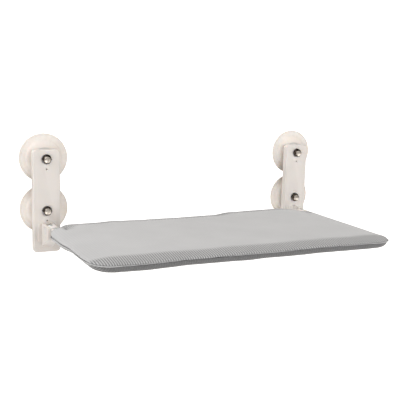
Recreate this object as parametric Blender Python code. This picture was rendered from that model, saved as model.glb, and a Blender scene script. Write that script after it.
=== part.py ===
"""Folding window perch for a cat: two suction-cup brackets and a hinged, covered tube frame.

Metres, +Z up. The glass is the plane Y = 0, and the perch stands out from it towards -Y. The
origin is the middle of the four suction cups, on the glass. Each bracket's centre line is at
X = -BRACKET_X or +BRACKET_X, and side is -1 for the left bracket and +1 for the right one.
"""

import math

import bmesh
import bpy
from mathutils import Matrix

# ---------------------------------------------------------------- driving dimensions
BRACKET_SPACING = 0.471
STUD_SPACING = 0.084
CUP_RADIUS = 0.040
STAND_OFF = 0.0127              # from the glass to the back of a bracket plate

PLATE_WIDTH = 0.0445
PLATE_THICKNESS = 0.0105
PLATE_ABOVE_STUD = 0.0151
PLATE_BELOW_STUD = 0.0687
PLATE_CORNER = 0.006
PLATE_FILLET = 0.0022

STUD_RADIUS = 0.0039            # M8 thread
NUT_ACROSS_FLATS = 0.013        # M8
HINGE_PIN_RADIUS = 0.003

PIVOT_Y = -0.047
PIVOT_Z = -0.070
KNUCKLE_RADIUS = 0.0093
CHEEK_RADIUS = 0.0173           # reach of the clevis cheeks round the pivot
CHEEK_TOP_Z = -0.062
CHEEK_FOOT_Z = -0.082
GUSSET_FOOT_Z = -0.101
BOSS_HALF_WIDTH = 0.0092
SLOT_HALF_WIDTH = 0.0046

TUBE_RADIUS = 0.0045
TUBE_BORE = 0.0034
TUBE_Z = -0.0662

SEAM_Z = -0.0641
PERCH_TOP_Z = -0.0582
PERCH_BOTTOM_Z = -0.0744
PERCH_REAR_Y = -0.047
PERCH_FRONT_Y = -0.3093
FRONT_CORNER = 0.033
FABRIC = 0.0015                 # thickness of the cover

# ---------------------------------------------------------------- clearances and fineness
GAP = 0.0003                    # between pieces that touch
RUNNING_GAP = 0.00015           # round the hinge pin in the cheeks
FABRIC_GAP = 0.0005             # between the cover and what it is stretched over
ROUND_LARGE = 32
ROUND_MEDIUM = 24
ROUND_SMALL = 16
ROUND_TUBE = 14
ARC_STEPS = 5
SMOOTH_ANGLE = math.radians(35)

# ---------------------------------------------------------------- derived places
BRACKET_X = BRACKET_SPACING / 2
STUD_Z = STUD_SPACING / 2
PLATE_BACK_Y = -STAND_OFF
PLATE_FRONT_Y = PLATE_BACK_Y - PLATE_THICKNESS
PLATE_TOP_Z = STUD_Z + PLATE_ABOVE_STUD
PLATE_BOTTOM_Z = -STUD_Z - PLATE_BELOW_STUD
PIN_BORE = HINGE_PIN_RADIUS + RUNNING_GAP
KNUCKLE_HALF_WIDTH = SLOT_HALF_WIDTH - GAP
SLOT_FLOOR_Z = PIVOT_Z - KNUCKLE_RADIUS - GAP

TUBE_INSET = TUBE_RADIUS + FABRIC_GAP + FABRIC
PERCH_HALF_WIDTH = BRACKET_X + TUBE_INSET
REAR_HALF_WIDTH = 0.2235        # the cover is narrower between the two clevises
NOTCH_Y = -0.0665               # and it has its full width in front of them
REAR_CORNER = 0.0170
NOTCH_INNER_CORNER = 0.0015
NOTCH_OUTER_CORNER = 0.004
REAR_LEG_X = REAR_HALF_WIDTH - TUBE_INSET
REAR_TUBE_Y = PERCH_REAR_Y - TUBE_INSET
FRONT_TUBE_Y = PERCH_FRONT_Y + TUBE_INSET

LUG_BACK_Y = -0.084
ARM_END_Y = -0.092
TUBE_JOINT_Y = -0.200
SPIGOT_RADIUS = TUBE_BORE - GAP


# ---------------------------------------------------------------- scene and materials
def clear_scene():
    """Remove every object, so that the scene holds only the perch."""
    for obj in list(bpy.data.objects):
        bpy.data.objects.remove(obj, do_unlink=True)


def material(name, color, roughness, metallic=0.0):
    """Return a Principled material."""
    mat = bpy.data.materials.new(name)
    mat.use_nodes = True
    shader = mat.node_tree.nodes["Principled BSDF"]
    shader.inputs["Base Color"].default_value = (*color, 1.0)
    shader.inputs["Roughness"].default_value = roughness
    shader.inputs["Metallic"].default_value = metallic
    mat.diffuse_color = (*color, 1.0)
    return mat


def make_materials():
    """Return the object's materials by name."""
    return {
        "white_plastic": material("white_plastic", (0.74, 0.69, 0.65), 0.42),
        "cup_plastic": material("cup_plastic", (0.80, 0.72, 0.66), 0.30),
        "grey_plastic": material("grey_plastic", (0.60, 0.58, 0.56), 0.50),
        "chrome": material("chrome", (0.80, 0.78, 0.75), 0.12, 1.0),
        "zinc_steel": material("zinc_steel", (0.62, 0.62, 0.63), 0.32, 1.0),
        "coated_steel": material("coated_steel", (0.70, 0.70, 0.70), 0.38, 1.0),
        "foam": material("foam", (0.78, 0.77, 0.74), 0.95),
        "mesh_fabric": material("mesh_fabric", (0.56, 0.57, 0.58), 0.90),
        "zip_tape": material("zip_tape", (0.30, 0.31, 0.32), 0.70),
    }


# ---------------------------------------------------------------- mesh helpers
def finish_mesh(name, bm):
    """Close a bmesh into a smooth-shaded mesh whose faces point out."""
    bmesh.ops.recalc_face_normals(bm, faces=bm.faces)
    mesh = bpy.data.meshes.new(name)
    bm.to_mesh(mesh)
    bm.free()
    mesh.shade_smooth()
    mesh.set_sharp_from_angle(angle=SMOOTH_ANGLE)
    return mesh


def new_object(name, mesh, mat=None, location=(0.0, 0.0, 0.0)):
    """Link a mesh to the scene as an object."""
    obj = bpy.data.objects.new(name, mesh)
    obj.location = location
    bpy.context.scene.collection.objects.link(obj)
    if mat is not None and not mesh.materials:
        mesh.materials.append(mat)
    return obj


def turned(name, profile, segments, axis="Y"):
    """Turn a profile of (radius, height) points about the local Y, X or Z axis."""
    bm = bmesh.new()
    verts = [bm.verts.new((radius, height, 0.0)) for radius, height in profile]
    edges = [bm.edges.new(pair) for pair in zip(verts, verts[1:])]
    if profile[0][0] > 0.0:
        edges.append(bm.edges.new((verts[-1], verts[0])))
    bmesh.ops.spin(bm, geom=verts + edges, cent=(0, 0, 0), axis=(0, 1, 0),
                   angle=2 * math.pi, steps=segments, use_merge=True)
    bmesh.ops.remove_doubles(bm, verts=bm.verts, dist=1e-7)
    turn = {"Y": Matrix.Identity(3),
            "X": Matrix.Rotation(-math.pi / 2, 3, "Z"),
            "Z": Matrix.Rotation(math.pi / 2, 3, "X")}[axis]
    bmesh.ops.transform(bm, matrix=turn.to_4x4(), verts=bm.verts)
    return finish_mesh(name, bm)


def rod(name, radius, low, high, segments, axis="Y"):
    """Return a plain cylinder from low to high along an axis."""
    profile = [(0.0, low), (radius, low), (radius, high), (0.0, high)]
    return turned(name, profile, segments, axis)


def block(name, low, high):
    """Return a box mesh between two corners."""
    size = [b - a for a, b in zip(low, high)]
    centre = [(a + b) / 2 for a, b in zip(low, high)]
    bm = bmesh.new()
    bmesh.ops.create_cube(bm, size=1.0)
    bmesh.ops.scale(bm, vec=size, verts=bm.verts)
    bmesh.ops.translate(bm, vec=centre, verts=bm.verts)
    return finish_mesh(name, bm)


def extruded(name, outline, low, high, axis, bevel=0.0, bevel_at=(), steps=2):
    """Extrude an outline along X, Y or Z, and round the rims at the given heights."""
    place = {"X": lambda a, b, h: (h, a, b),
             "Y": lambda a, b, h: (a, h, b),
             "Z": lambda a, b, h: (a, b, h)}[axis]
    bm = bmesh.new()
    face = bm.faces.new([bm.verts.new(place(a, b, low)) for a, b in outline])
    side = bmesh.ops.extrude_face_region(bm, geom=[face])
    moved = [item for item in side["geom"] if isinstance(item, bmesh.types.BMVert)]
    bmesh.ops.translate(bm, vec=place(0.0, 0.0, high - low), verts=moved)
    along = "XYZ".index(axis)
    rims = [edge for edge in bm.edges for height in bevel_at
            if all(abs(vert.co[along] - height) < 1e-6 for vert in edge.verts)]
    if rims:
        bmesh.ops.bevel(bm, geom=rims, offset=bevel, segments=steps, affect="EDGES", profile=0.5)
    return finish_mesh(name, bm)


def arc(centre, radius, start, end, steps):
    """Return points on an arc, with angles in degrees."""
    angles = [math.radians(start + (end - start) * i / steps) for i in range(steps + 1)]
    return [(centre[0] + radius * math.cos(a), centre[1] + radius * math.sin(a)) for a in angles]


def rounded_rectangle(low, high, radius, steps):
    """Return a rectangle's outline with round corners, anticlockwise."""
    corners = [(high[0] - radius, low[1] + radius, -90), (high[0] - radius, high[1] - radius, 0),
               (low[0] + radius, high[1] - radius, 90), (low[0] + radius, low[1] + radius, 180)]
    points = []
    for x, y, start in corners:
        points += arc((x, y), radius, start, start + 90, steps)
    return points


def combine(target, mesh, operation, location=(0.0, 0.0, 0.0)):
    """Add a Boolean with a hidden tool object that holds the given mesh."""
    tool = new_object(f"{target.name}_tool_{len(target.modifiers)}", mesh, location=location)
    tool.hide_render = True
    tool.display_type = "WIRE"
    tool.parent = target.parent
    tool.matrix_parent_inverse = target.matrix_parent_inverse
    modifier = target.modifiers.new(tool.name, "BOOLEAN")
    modifier.operation = operation
    modifier.solver = "EXACT"
    modifier.object = tool
    return tool


def hang_on(parent, obj):
    """Parent an object without moving it."""
    obj.parent = parent
    obj.matrix_parent_inverse = Matrix.Translation(parent.location).inverted()


# ---------------------------------------------------------------- suction cups and their fasteners
CUP_HUB_Y = -0.0094
STUD_HEAD_RADIUS = 0.008
STUD_HEAD_Y = (-0.0046, -0.0074)
DISC_RADIUS = 0.018
DISC_Y = (CUP_HUB_Y - GAP, PLATE_BACK_Y + GAP)
PEG_RADIUS = 0.0012
PEG_DROP = 0.016                # from the stud down to the peg
PEG_TIP_Y = -0.0205
STUD_TIP_Y = -0.0290
WASHER_RADIUS = 0.0079
WASHER_RECESS = 0.0013
WASHER_Y = (PLATE_FRONT_Y + WASHER_RECESS - GAP, PLATE_FRONT_Y)
NUT_BASE_Y = WASHER_Y[1] - GAP
NUT_SHOULDER_Y = NUT_BASE_Y - 0.0048
NUT_TIP_Y = NUT_BASE_Y - 0.0088
NUT_DOME_RADIUS = 0.0059


def suction_cup_mesh():
    """A cup pressed on the glass: a flat lip, a thin flange, and a raised hub round the stud's head."""
    hole = STUD_RADIUS + GAP
    pocket = STUD_HEAD_RADIUS + GAP
    lip = CUP_RADIUS
    profile = [
        (0.0, -0.0030), (0.022, -0.0022), (lip - 0.0040, -0.0005),
        (lip - 0.0038, 0.0), (lip - 0.0004, 0.0), (lip, -0.0005), (lip - 0.0002, -0.0013),
        (0.0300, -0.0036), (0.0284, -0.0043), (0.0266, -0.0064), (0.0245, -0.0072),
        (0.0125, CUP_HUB_Y), (hole, CUP_HUB_Y),
        (hole, STUD_HEAD_Y[1] - GAP), (pocket, STUD_HEAD_Y[1] - GAP),
        (pocket, STUD_HEAD_Y[0] + GAP), (0.0, STUD_HEAD_Y[0] + GAP),
    ]
    return turned("suction_cup", profile, ROUND_LARGE)


def stud_mesh():
    """A stud with a round head that the cup holds, and a chamfered tip."""
    chamfer = 0.0008
    profile = [
        (0.0, STUD_HEAD_Y[0]), (STUD_HEAD_RADIUS, STUD_HEAD_Y[0]),
        (STUD_HEAD_RADIUS, STUD_HEAD_Y[1]), (STUD_RADIUS, STUD_HEAD_Y[1]),
        (STUD_RADIUS, STUD_TIP_Y + chamfer), (STUD_RADIUS - chamfer, STUD_TIP_Y),
        (0.0, STUD_TIP_Y),
    ]
    return turned("cup_stud", profile, ROUND_SMALL)


def washer_mesh():
    """A flat washer under the cap nut."""
    hole = STUD_RADIUS + GAP
    edge = 0.0002
    profile = [
        (hole, WASHER_Y[0]), (WASHER_RADIUS, WASHER_Y[0]), (WASHER_RADIUS, WASHER_Y[1] + edge),
        (WASHER_RADIUS - edge, WASHER_Y[1]), (hole, WASHER_Y[1]),
    ]
    return turned("washer", profile, ROUND_MEDIUM)


def make_backing_disc(name, mat, location):
    """A stiff disc between cup and plate, with the peg that stops the cup turning."""
    hole = STUD_RADIUS + GAP
    edge = 0.0005
    profile = [
        (hole, DISC_Y[0]), (DISC_RADIUS - edge, DISC_Y[0]), (DISC_RADIUS, DISC_Y[0] - edge),
        (DISC_RADIUS, DISC_Y[1]), (hole, DISC_Y[1]),
    ]
    disc = new_object(name, turned(name, profile, ROUND_MEDIUM), mat, location)
    peg = rod(f"{name}_peg", PEG_RADIUS, PEG_TIP_Y, DISC_Y[0] - edge, 12)
    x, y, z = location
    combine(disc, peg, "UNION", (x, y, z - PEG_DROP))


def make_cap_nut(name, mat, location):
    """A low cap nut: a hexagon with two corners level, and a dome over the stud's tip."""
    across_corners = NUT_ACROSS_FLATS / math.sqrt(3)
    hexagon = arc((0.0, 0.0), across_corners, 0, 300, 5)
    prism = extruded(name, hexagon, NUT_SHOULDER_Y, NUT_BASE_Y, "Y", 0.0005,
                     (NUT_SHOULDER_Y,), 1)
    nut = new_object(name, prism, mat, location)
    height = NUT_SHOULDER_Y - NUT_TIP_Y
    dome = [(NUT_DOME_RADIUS * math.cos(a), NUT_SHOULDER_Y - height * math.sin(a))
            for a in (math.radians(15 * i) for i in range(6))]
    inside = NUT_SHOULDER_Y + 0.001
    profile = [(0.0, inside), (NUT_DOME_RADIUS, inside)] + dome + [(0.0, NUT_TIP_Y)]
    combine(nut, turned(f"{name}_dome", profile, ROUND_SMALL), "UNION", location)
    bore = rod(f"{name}_bore", STUD_RADIUS + GAP, STUD_TIP_Y - GAP, NUT_BASE_Y + 0.001, ROUND_SMALL)
    combine(nut, bore, "DIFFERENCE", location)


def make_cup_set(side, side_name, materials):
    """Two cups on one bracket, each with its stud, backing disc, washer and cap nut."""
    shared = {"suction_cup": (suction_cup_mesh(), "cup_plastic"),
              "cup_stud": (stud_mesh(), "zinc_steel"),
              "washer": (washer_mesh(), "zinc_steel")}
    for level, z in (("upper", STUD_Z), ("lower", -STUD_Z)):
        location = (side * BRACKET_X, 0.0, z)
        place = f"{side_name}_{level}"
        for kind, (mesh, slot) in shared.items():
            new_object(f"{kind}_{place}", mesh, materials[slot], location)
        make_backing_disc(f"backing_disc_{place}", materials["grey_plastic"], location)
        make_cap_nut(f"cap_nut_{place}", materials["chrome"], location)


# ---------------------------------------------------------------- bracket plate with its clevis
POCKET_DEPTH = 0.007
POCKET_HALF_WIDTH = 0.0175
PIN_HEAD_RADIUS = 0.0064
PIN_RECESS_RADIUS = PIN_HEAD_RADIUS + 0.0006
PIN_RECESS_DEPTH = 0.0016
BASE_HALF_WIDTH = 0.0155
BASE_Z = (-0.0930, -0.0600)
BASE_STEP = 0.0012
POCKET_HALF_HEIGHT = 0.0205
SLOT_BACK_Y = PLATE_FRONT_Y - 0.003


def boss_outline():
    """Side view of the clevis in (Y, Z): level top, round nose, upright front, sloping gusset."""
    nose = math.degrees(math.asin((CHEEK_TOP_Z - PIVOT_Z) / CHEEK_RADIUS))
    buried_y = PLATE_FRONT_Y + 0.002
    front_y = PIVOT_Y - CHEEK_RADIUS
    slope = (CHEEK_FOOT_Z - GUSSET_FOOT_Z) / (PLATE_FRONT_Y - front_y)
    points = [(buried_y, CHEEK_TOP_Z)]
    points += arc((PIVOT_Y, PIVOT_Z), CHEEK_RADIUS, 180 - nose, 180, 4)
    points += [(front_y, CHEEK_FOOT_Z + 0.0015), (front_y + 0.0015, CHEEK_FOOT_Z - 0.0003)]
    points += [(buried_y, GUSSET_FOOT_Z - slope * 0.002)]
    return points


def make_bracket_plate(name, mat, x):
    """The moulded plate: rounded slab, clevis with gusset, stud holes, and pockets at the back."""
    half = PLATE_WIDTH / 2
    outline = rounded_rectangle((-half, PLATE_BOTTOM_Z), (half, PLATE_TOP_Z), PLATE_CORNER, 4)
    slab = extruded(name, outline, PLATE_FRONT_Y, PLATE_BACK_Y, "Y", PLATE_FILLET,
                    (PLATE_FRONT_Y,), 3)
    plate = new_object(name, slab, mat, (x, 0.0, 0.0))
    here = (x, 0.0, 0.0)

    base = rounded_rectangle((-BASE_HALF_WIDTH, BASE_Z[0]), (BASE_HALF_WIDTH, BASE_Z[1]), 0.004, 2)
    base_mesh = extruded(f"{name}_base", base, PLATE_FRONT_Y - BASE_STEP, PLATE_FRONT_Y + 0.001,
                         "Y", 0.0007, (PLATE_FRONT_Y - BASE_STEP,), 1)
    combine(plate, base_mesh, "UNION", here)
    boss = extruded(f"{name}_boss", boss_outline(), -BOSS_HALF_WIDTH, BOSS_HALF_WIDTH, "X",
                    0.0012, (-BOSS_HALF_WIDTH, BOSS_HALF_WIDTH), 2)
    combine(plate, boss, "UNION", here)

    slot = block(f"{name}_slot", (-SLOT_HALF_WIDTH, PIVOT_Y - 0.03, SLOT_FLOOR_Z),
                 (SLOT_HALF_WIDTH, SLOT_BACK_Y, CHEEK_TOP_Z + 0.01))
    combine(plate, slot, "DIFFERENCE", here)
    floor = BOSS_HALF_WIDTH - PIN_RECESS_DEPTH
    past = BOSS_HALF_WIDTH + 0.003
    bore_profile = [(0.0, -past), (PIN_RECESS_RADIUS, -past), (PIN_RECESS_RADIUS, -floor),
                    (PIN_BORE, -floor), (PIN_BORE, floor), (PIN_RECESS_RADIUS, floor),
                    (PIN_RECESS_RADIUS, past), (0.0, past)]
    bore = turned(f"{name}_pin_bore", bore_profile, ROUND_MEDIUM, "X")
    combine(plate, bore, "DIFFERENCE", (x, PIVOT_Y, PIVOT_Z))

    front_y, back_y = PLATE_FRONT_Y - 0.002, PLATE_BACK_Y + 0.002
    recess_y = PLATE_FRONT_Y + WASHER_RECESS
    recess_radius = WASHER_RADIUS + GAP
    hole_profile = [(0.0, front_y), (recess_radius, front_y), (recess_radius, recess_y),
                    (STUD_RADIUS + GAP, recess_y), (STUD_RADIUS + GAP, back_y), (0.0, back_y)]
    for z in (STUD_Z, -STUD_Z):
        hole = turned(f"{name}_stud_hole", hole_profile, ROUND_MEDIUM)
        combine(plate, hole, "DIFFERENCE", (x, 0.0, z))
        peg_hole = rod(f"{name}_peg_hole", PEG_RADIUS + GAP, front_y, back_y, 12)
        combine(plate, peg_hole, "DIFFERENCE", (x, 0.0, z - PEG_DROP))

    pocket_floor = PLATE_BACK_Y - POCKET_DEPTH
    rib = 0.0011
    lower = (PLATE_BOTTOM_Z + 0.003, -STUD_Z - DISC_RADIUS - 0.003)
    pockets = [(-POCKET_HALF_WIDTH, POCKET_HALF_WIDTH, -POCKET_HALF_HEIGHT, -rib),
               (-POCKET_HALF_WIDTH, POCKET_HALF_WIDTH, rib, POCKET_HALF_HEIGHT),
               (-POCKET_HALF_WIDTH, -rib, *lower), (rib, POCKET_HALF_WIDTH, *lower)]
    for low_x, high_x, low_z, high_z in pockets:
        pocket = rounded_rectangle((low_x, low_z), (high_x, high_z), 0.002, 2)
        pocket_mesh = extruded(f"{name}_pocket", pocket, pocket_floor, back_y, "Y")
        combine(plate, pocket_mesh, "DIFFERENCE", here)


# ---------------------------------------------------------------- hinge arm and its fasteners
ARM_TOP_Z = TUBE_Z + 0.0043
ARM_BOTTOM_Z = TUBE_Z - 0.0043
BAR_END_Y = NOTCH_Y - 0.0042    # where the flat bar turns into the round neck
HEEL_FLAT_Y = PIVOT_Y - 0.0125
SPIGOT_LENGTH = 0.030
REAR_SPIGOT_LENGTH = 0.014
LUG_HALF_WIDTH = 0.0045
LOCK_HEAD_RADIUS = 0.0032
LOCK_HEAD_Z = (-0.0628, -0.0604)
LOCK_SHANK_RADIUS = 0.0015
TUBE_SCREW_Y = ARM_END_Y - 0.013
TUBE_SCREW_SHANK = 0.0011
TUBE_SCREW_HEAD = 0.0020
CLIP_S = (-0.0079, -0.0089)


def arm_outline():
    """Side view of the arm in (Y, Z): knuckle, flat heel that rests on the slot floor, bar."""
    top_z = PIVOT_Z + KNUCKLE_RADIUS
    bottom_z = PIVOT_Z - KNUCKLE_RADIUS
    clear_y = PIVOT_Y - CHEEK_RADIUS - 0.002
    points = arc((PIVOT_Y, PIVOT_Z), KNUCKLE_RADIUS, -90, 90, 10)
    points += [(PIVOT_Y - 0.012, top_z), (clear_y, ARM_TOP_Z), (BAR_END_Y, ARM_TOP_Z)]
    points += [(BAR_END_Y, ARM_BOTTOM_Z), (clear_y - 0.001, ARM_BOTTOM_Z), (HEEL_FLAT_Y, bottom_z)]
    return points


def make_hinge_arm(name, mat, side, parent):
    """The moulded arm: knuckle on the pin, a round neck with a spigot, a lug for the rear tube."""
    x = side * BRACKET_X
    here = (x, 0.0, 0.0)
    half = KNUCKLE_HALF_WIDTH
    bar = extruded(name, arm_outline(), -half, half, "X", 0.0007, (-half, half), 1)
    arm = new_object(name, bar, mat, here)
    hang_on(parent, arm)

    spigot_profile = [(0.0, BAR_END_Y + 0.002), (TUBE_RADIUS, BAR_END_Y + 0.002),
                      (TUBE_RADIUS, ARM_END_Y), (SPIGOT_RADIUS, ARM_END_Y),
                      (SPIGOT_RADIUS, ARM_END_Y - SPIGOT_LENGTH),
                      (0.0, ARM_END_Y - SPIGOT_LENGTH)]
    neck = turned(f"{name}_neck", spigot_profile, ROUND_SMALL)
    combine(arm, neck, "UNION", (x, 0.0, TUBE_Z))
    lug_x = side * (REAR_LEG_X - BRACKET_X)
    inner_x = lug_x - side * LUG_HALF_WIDTH
    lug_low = (min(inner_x, 0.0), ARM_END_Y + 0.0004, ARM_BOTTOM_Z + 0.0004)
    lug_high = (max(inner_x, 0.0), LUG_BACK_Y, ARM_TOP_Z - 0.0004)
    combine(arm, block(f"{name}_lug", lug_low, lug_high), "UNION", here)
    rear_spigot = rod(f"{name}_rear_spigot", SPIGOT_RADIUS, LUG_BACK_Y - 0.002,
                      LUG_BACK_Y + REAR_SPIGOT_LENGTH, ROUND_SMALL)
    combine(arm, rear_spigot, "UNION", (x + lug_x, 0.0, TUBE_Z))

    bore = rod(f"{name}_pin_bore", HINGE_PIN_RADIUS + GAP, -half - 0.001, half + 0.001,
               ROUND_MEDIUM, "X")
    combine(arm, bore, "DIFFERENCE", (x, PIVOT_Y, PIVOT_Z))
    seat_z = LOCK_HEAD_Z[0] - GAP
    head = LOCK_HEAD_RADIUS + GAP
    shank = LOCK_SHANK_RADIUS + GAP
    lock_profile = [(0.0, PIVOT_Z), (shank, PIVOT_Z), (shank, seat_z), (head, seat_z),
                    (head, PIVOT_Z + 0.012), (0.0, PIVOT_Z + 0.012)]
    combine(arm, turned(f"{name}_lock_hole", lock_profile, ROUND_SMALL, "Z"), "DIFFERENCE",
            (x, PIVOT_Y, 0.0))
    screw_hole = rod(f"{name}_screw_hole", TUBE_SCREW_SHANK + GAP, TUBE_Z - 0.006,
                     TUBE_Z + 0.0015, 12, "Z")
    combine(arm, screw_hole, "DIFFERENCE", (x, TUBE_SCREW_Y, 0.0))


def make_hinge_pin(name, mat, side, parent):
    """The pin: flat head outside, plain shank through cheeks and knuckle, groove for the ring."""
    groove = HINGE_PIN_RADIUS - 0.0009
    groove_s = (CLIP_S[0] + GAP, CLIP_S[1] - GAP)
    tip_s = -0.0104
    profile = [
        (0.0, 0.0093), (PIN_HEAD_RADIUS - 0.0004, 0.0093), (PIN_HEAD_RADIUS, 0.0089),
        (PIN_HEAD_RADIUS, 0.0079), (HINGE_PIN_RADIUS, 0.0079), (HINGE_PIN_RADIUS, groove_s[0]),
        (groove, groove_s[0]), (groove, groove_s[1]), (HINGE_PIN_RADIUS, groove_s[1]),
        (HINGE_PIN_RADIUS, tip_s + 0.0004), (HINGE_PIN_RADIUS - 0.0004, tip_s), (0.0, tip_s),
    ]
    outward = [(radius, side * s) for radius, s in profile]
    pin = new_object(name, turned(name, outward, ROUND_MEDIUM, "X"), mat,
                     (side * BRACKET_X, PIVOT_Y, PIVOT_Z))
    hang_on(parent, pin)


def make_retaining_ring(name, mat, side, parent):
    """An open ring that sits in the pin's groove, with its gap towards the front."""
    inner = HINGE_PIN_RADIUS - 0.0009 + GAP
    outer = 0.0054
    profile = [(inner, side * CLIP_S[0]), (outer, side * CLIP_S[0]),
               (outer, side * CLIP_S[1]), (inner, side * CLIP_S[1])]
    place = (side * BRACKET_X, PIVOT_Y, PIVOT_Z)
    ring = new_object(name, turned(name, profile, ROUND_MEDIUM, "X"), mat, place)
    hang_on(parent, ring)
    mouth = 0.0013
    opening = block(f"{name}_mouth", (-0.012, -outer - 0.001, -mouth), (0.012, 0.0, mouth))
    combine(ring, opening, "DIFFERENCE", place)


def make_lock_screw(name, mat, side, parent):
    """A socket screw down through the knuckle, which holds the pin."""
    tip_z = PIVOT_Z + HINGE_PIN_RADIUS + GAP
    base_z, top_z = LOCK_HEAD_Z
    edge = 0.0004
    profile = [
        (0.0, tip_z), (LOCK_SHANK_RADIUS, tip_z), (LOCK_SHANK_RADIUS, base_z),
        (LOCK_HEAD_RADIUS, base_z), (LOCK_HEAD_RADIUS, top_z - edge),
        (LOCK_HEAD_RADIUS - edge, top_z), (0.0, top_z),
    ]
    place = (side * BRACKET_X, PIVOT_Y, 0.0)
    screw = new_object(name, turned(name, profile, ROUND_SMALL, "Z"), mat, place)
    hang_on(parent, screw)
    socket = extruded(f"{name}_socket", arc((0.0, 0.0), 0.0015, 0, 300, 5), top_z - 0.0014,
                      top_z + 0.001, "Z")
    combine(screw, socket, "DIFFERENCE", place)


def make_tube_screw(name, mat, side, parent):
    """A small screw from below, through the side tube into the arm's spigot."""
    head_z = TUBE_Z - TUBE_RADIUS - GAP
    profile = [
        (0.0, head_z - 0.0009), (TUBE_SCREW_HEAD - 0.0004, head_z - 0.0009),
        (TUBE_SCREW_HEAD, head_z - 0.0004), (TUBE_SCREW_HEAD, head_z),
        (TUBE_SCREW_SHANK, head_z), (TUBE_SCREW_SHANK, TUBE_Z + 0.0010), (0.0, TUBE_Z + 0.0010),
    ]
    screw = new_object(name, turned(name, profile, 12, "Z"), mat,
                       (side * BRACKET_X, TUBE_SCREW_Y, 0.0))
    hang_on(parent, screw)


# ---------------------------------------------------------------- tube frame
def swept_tube(name, path, outer, inner, segments):
    """Sweep a hollow round section along a level path of (x, y) points at z = 0."""
    bm = bmesh.new()
    rings = []
    for i, (x, y) in enumerate(path):
        before, after = path[max(i - 1, 0)], path[min(i + 1, len(path) - 1)]
        length = math.hypot(after[0] - before[0], after[1] - before[1])
        across = ((before[1] - after[1]) / length, (after[0] - before[0]) / length)
        ring = []
        for radius in (outer, inner):
            ring.append([bm.verts.new((x + across[0] * radius * math.cos(a),
                                       y + across[1] * radius * math.cos(a),
                                       radius * math.sin(a)))
                         for a in (2 * math.pi * k / segments for k in range(segments))])
        rings.append(ring)
    for k in range(segments):
        n = (k + 1) % segments
        for (out_a, in_a), (out_b, in_b) in zip(rings, rings[1:]):
            bm.faces.new((out_a[k], out_a[n], out_b[n], out_b[k]))
            bm.faces.new((in_a[k], in_b[k], in_b[n], in_a[n]))
        for out_ring, in_ring in (rings[0], rings[-1]):
            bm.faces.new((out_ring[k], out_ring[n], in_ring[n], in_ring[k]))
    return finish_mesh(name, bm)


def bent_path(half_width, cross_y, end_y, radius):
    """A U in (x, y): two legs at half_width joined by a cross run at cross_y."""
    turn = 1 if cross_y > end_y else -1
    centre_y = cross_y - turn * radius
    right = arc((half_width - radius, centre_y), radius, 0, turn * 90, ARC_STEPS)
    left = [(-x, y) for x, y in reversed(right)]
    return [(half_width, end_y)] + right + left + [(-half_width, end_y)]


def make_tube(name, path, outer, inner, mat, parent):
    """Place a swept tube at the height of the frame."""
    tube = new_object(name, swept_tube(name, path, outer, inner, ROUND_TUBE), mat,
                      (0.0, 0.0, TUBE_Z))
    hang_on(parent, tube)
    return tube


def make_frame(materials, parent):
    """The bent front and rear tubes, the straight side tubes and the sleeves that join them."""
    steel = materials["coated_steel"]
    front_path = bent_path(BRACKET_X, FRONT_TUBE_Y, TUBE_JOINT_Y - GAP, FRONT_CORNER - TUBE_INSET)
    make_tube("front_tube", front_path, TUBE_RADIUS, TUBE_BORE, steel, parent)
    rear_path = bent_path(REAR_LEG_X, REAR_TUBE_Y, LUG_BACK_Y + GAP, REAR_CORNER - TUBE_INSET)
    make_tube("rear_tube", rear_path, TUBE_RADIUS, TUBE_BORE, steel, parent)
    for side, side_name in ((-1, "left"), (1, "right")):
        x = side * BRACKET_X
        run = [(x, ARM_END_Y - GAP), (x, TUBE_JOINT_Y + GAP)]
        tube = make_tube(f"side_tube_{side_name}", run, TUBE_RADIUS, TUBE_BORE, steel, parent)
        hole = rod(f"side_tube_{side_name}_hole", TUBE_SCREW_SHANK + GAP,
                   TUBE_Z - TUBE_RADIUS - 0.001, TUBE_Z, 12, "Z")
        combine(tube, hole, "DIFFERENCE", (x, TUBE_SCREW_Y, 0.0))
        run = [(x, TUBE_JOINT_Y + 0.024), (x, TUBE_JOINT_Y - 0.024)]
        make_tube(f"joint_sleeve_{side_name}", run, SPIGOT_RADIUS, SPIGOT_RADIUS - 0.0009,
                  materials["zinc_steel"], parent)


# ---------------------------------------------------------------- foam and cover
TOP_ROLL = 0.014                # inset over which the top panel rolls down to the seam
BOTTOM_ROLL = 0.007
FOAM_GAP = 0.001
FOAM_TOP_Z = -0.0604
FOAM_BOTTOM_Z = -0.0700
FOAM_FRONT_CORNER = 0.020
FOAM_REAR_CORNER = 0.008


def perch_outline(inset):
    """Plan of the cover in (X, Y), drawn in by inset: narrow at the back, full width in front."""
    wide, narrow = PERCH_HALF_WIDTH - inset, REAR_HALF_WIDTH - inset
    rear, step, front = PERCH_REAR_Y - inset, NOTCH_Y - inset, PERCH_FRONT_Y + inset
    rear_r = max(REAR_CORNER - inset, 0.002)
    inner_r = NOTCH_INNER_CORNER + inset
    outer_r = max(NOTCH_OUTER_CORNER - inset, 0.001)
    front_r = max(FRONT_CORNER - inset, 0.002)
    inner_r = min(inner_r, wide - outer_r - narrow - 0.0005)
    half = arc((wide - front_r, front + front_r), front_r, -90, 0, 7)
    half += arc((wide - outer_r, step - outer_r), outer_r, 0, 90, 3)
    half += list(reversed(arc((narrow + inner_r, step + inner_r), inner_r, 180, 270, 3)))
    half += arc((narrow - rear_r, rear - rear_r), rear_r, 0, 90, ARC_STEPS)
    return half + [(-x, y) for x, y in reversed(half)]


def roll(inset, width, height):
    """Height of a quarter ellipse over its rim, at a distance inside the rim."""
    across = min(inset / width, 1.0)
    return height * math.sqrt(1.0 - (1.0 - across) ** 2)


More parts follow.
